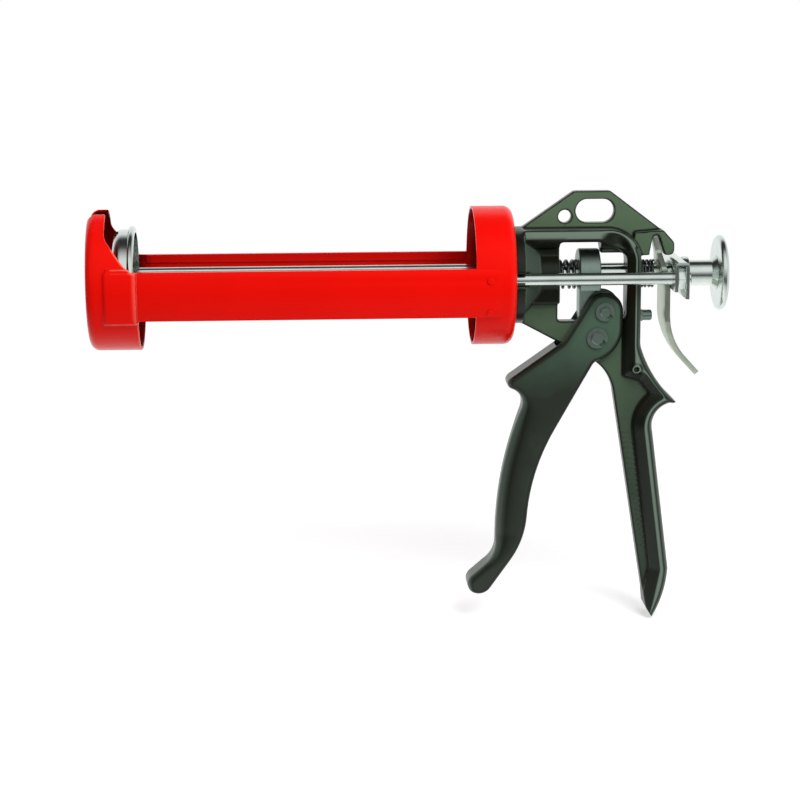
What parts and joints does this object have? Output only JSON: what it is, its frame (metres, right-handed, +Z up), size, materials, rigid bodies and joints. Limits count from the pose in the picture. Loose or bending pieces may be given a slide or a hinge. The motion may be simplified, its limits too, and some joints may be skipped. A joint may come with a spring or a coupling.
{
  "type": "caulking gun",
  "caption": "Hand-squeezed caulking gun with an open cradle between a notched nose cup and a rear cup, a push-rod drive and a thumb release lever.",
  "frame": {"origin": "on the cartridge axis at the seat, the inner face of the nose plate", "axes": "+X along the cartridge axis from the nose to the pull knob, +Z up, +Y across the gun to the right of a user who aims it"},
  "size_m": [0.3073, 0.0718, 0.2115],
  "materials": {
    "red_enamel": "gloss",
    "dark_enamel": "semi-gloss",
    "zinc_plate": "bright zinc",
    "bright_steel": "satin",
    "spring_steel": "dark",
    "chrome_plate": "polished"
  },
  "bodies": {
    "frame": {"frame": "dark_enamel", "nose_cup": "red_enamel", "rear_cup": "red_enamel", "left_rail": "red_enamel", "right_rail": "red_enamel", "rail_rivets": "red_enamel", "cup_screws": "bright_steel", "pivot_pin": "bright_steel", "pivot_clips": "bright_steel", "drive_spring": "spring_steel", "release_spring": "spring_steel", "stop_screw": "bright_steel", "stop_nut": "bright_steel"},
    "trigger": {"trigger": "dark_enamel", "thrust_pin": "bright_steel", "thrust_clips": "bright_steel"},
    "roller": {"thrust_roller": "bright_steel"},
    "grip": {"grip_block": "bright_steel"},
    "pushrods": {"drive_rod": "zinc_plate", "left_side_rod": "zinc_plate", "right_side_rod": "zinc_plate", "pusher": "zinc_plate", "pusher_nut": "zinc_plate", "rod_bridge": "zinc_plate", "bridge_nuts": "zinc_plate", "collar_nut": "zinc_plate", "knob_stem": "zinc_plate", "pull_knob": "chrome_plate"},
    "release": {"release_lever": "zinc_plate"}
  },
  "joints": [
    {"name": "trigger_squeeze", "type": "hinge", "parent": "frame", "child": "trigger", "pos_m": [0.2422, 0, -0.0299], "axis": [0, -1, 0], "range_deg": [0, 26], "stiffness_Nm_per_rad": 1, "springref_deg": -17.19},
    {"name": "grip_slide", "type": "slide", "parent": "frame", "child": "grip", "axis": [-1, 0, 0], "range_m": [0, 0.0064], "deforming": ["drive_spring"]},
    {"name": "roller_spin", "type": "hinge", "parent": "trigger", "child": "roller", "pos_m": [0.2458, 0, -0.0172], "axis": [0, 1, 0], "continuous": true},
    {"name": "rod_slide", "type": "slide", "parent": "frame", "child": "pushrods", "axis": [1, 0, 0], "range_m": [0, 0.176]},
    {"name": "release_press", "type": "hinge", "parent": "frame", "child": "release", "pos_m": [0.2707, 0, 0.0176], "axis": [0, 1, 0], "range_deg": [0, 6], "stiffness_Nm_per_rad": 0.6, "springref_deg": -14.32, "deforming": ["release_spring"]}
  ],
  "couplings": [
    {"joint": "grip_slide", "follows": "trigger_squeeze", "m_per_rad": 0.0131}
  ]
}
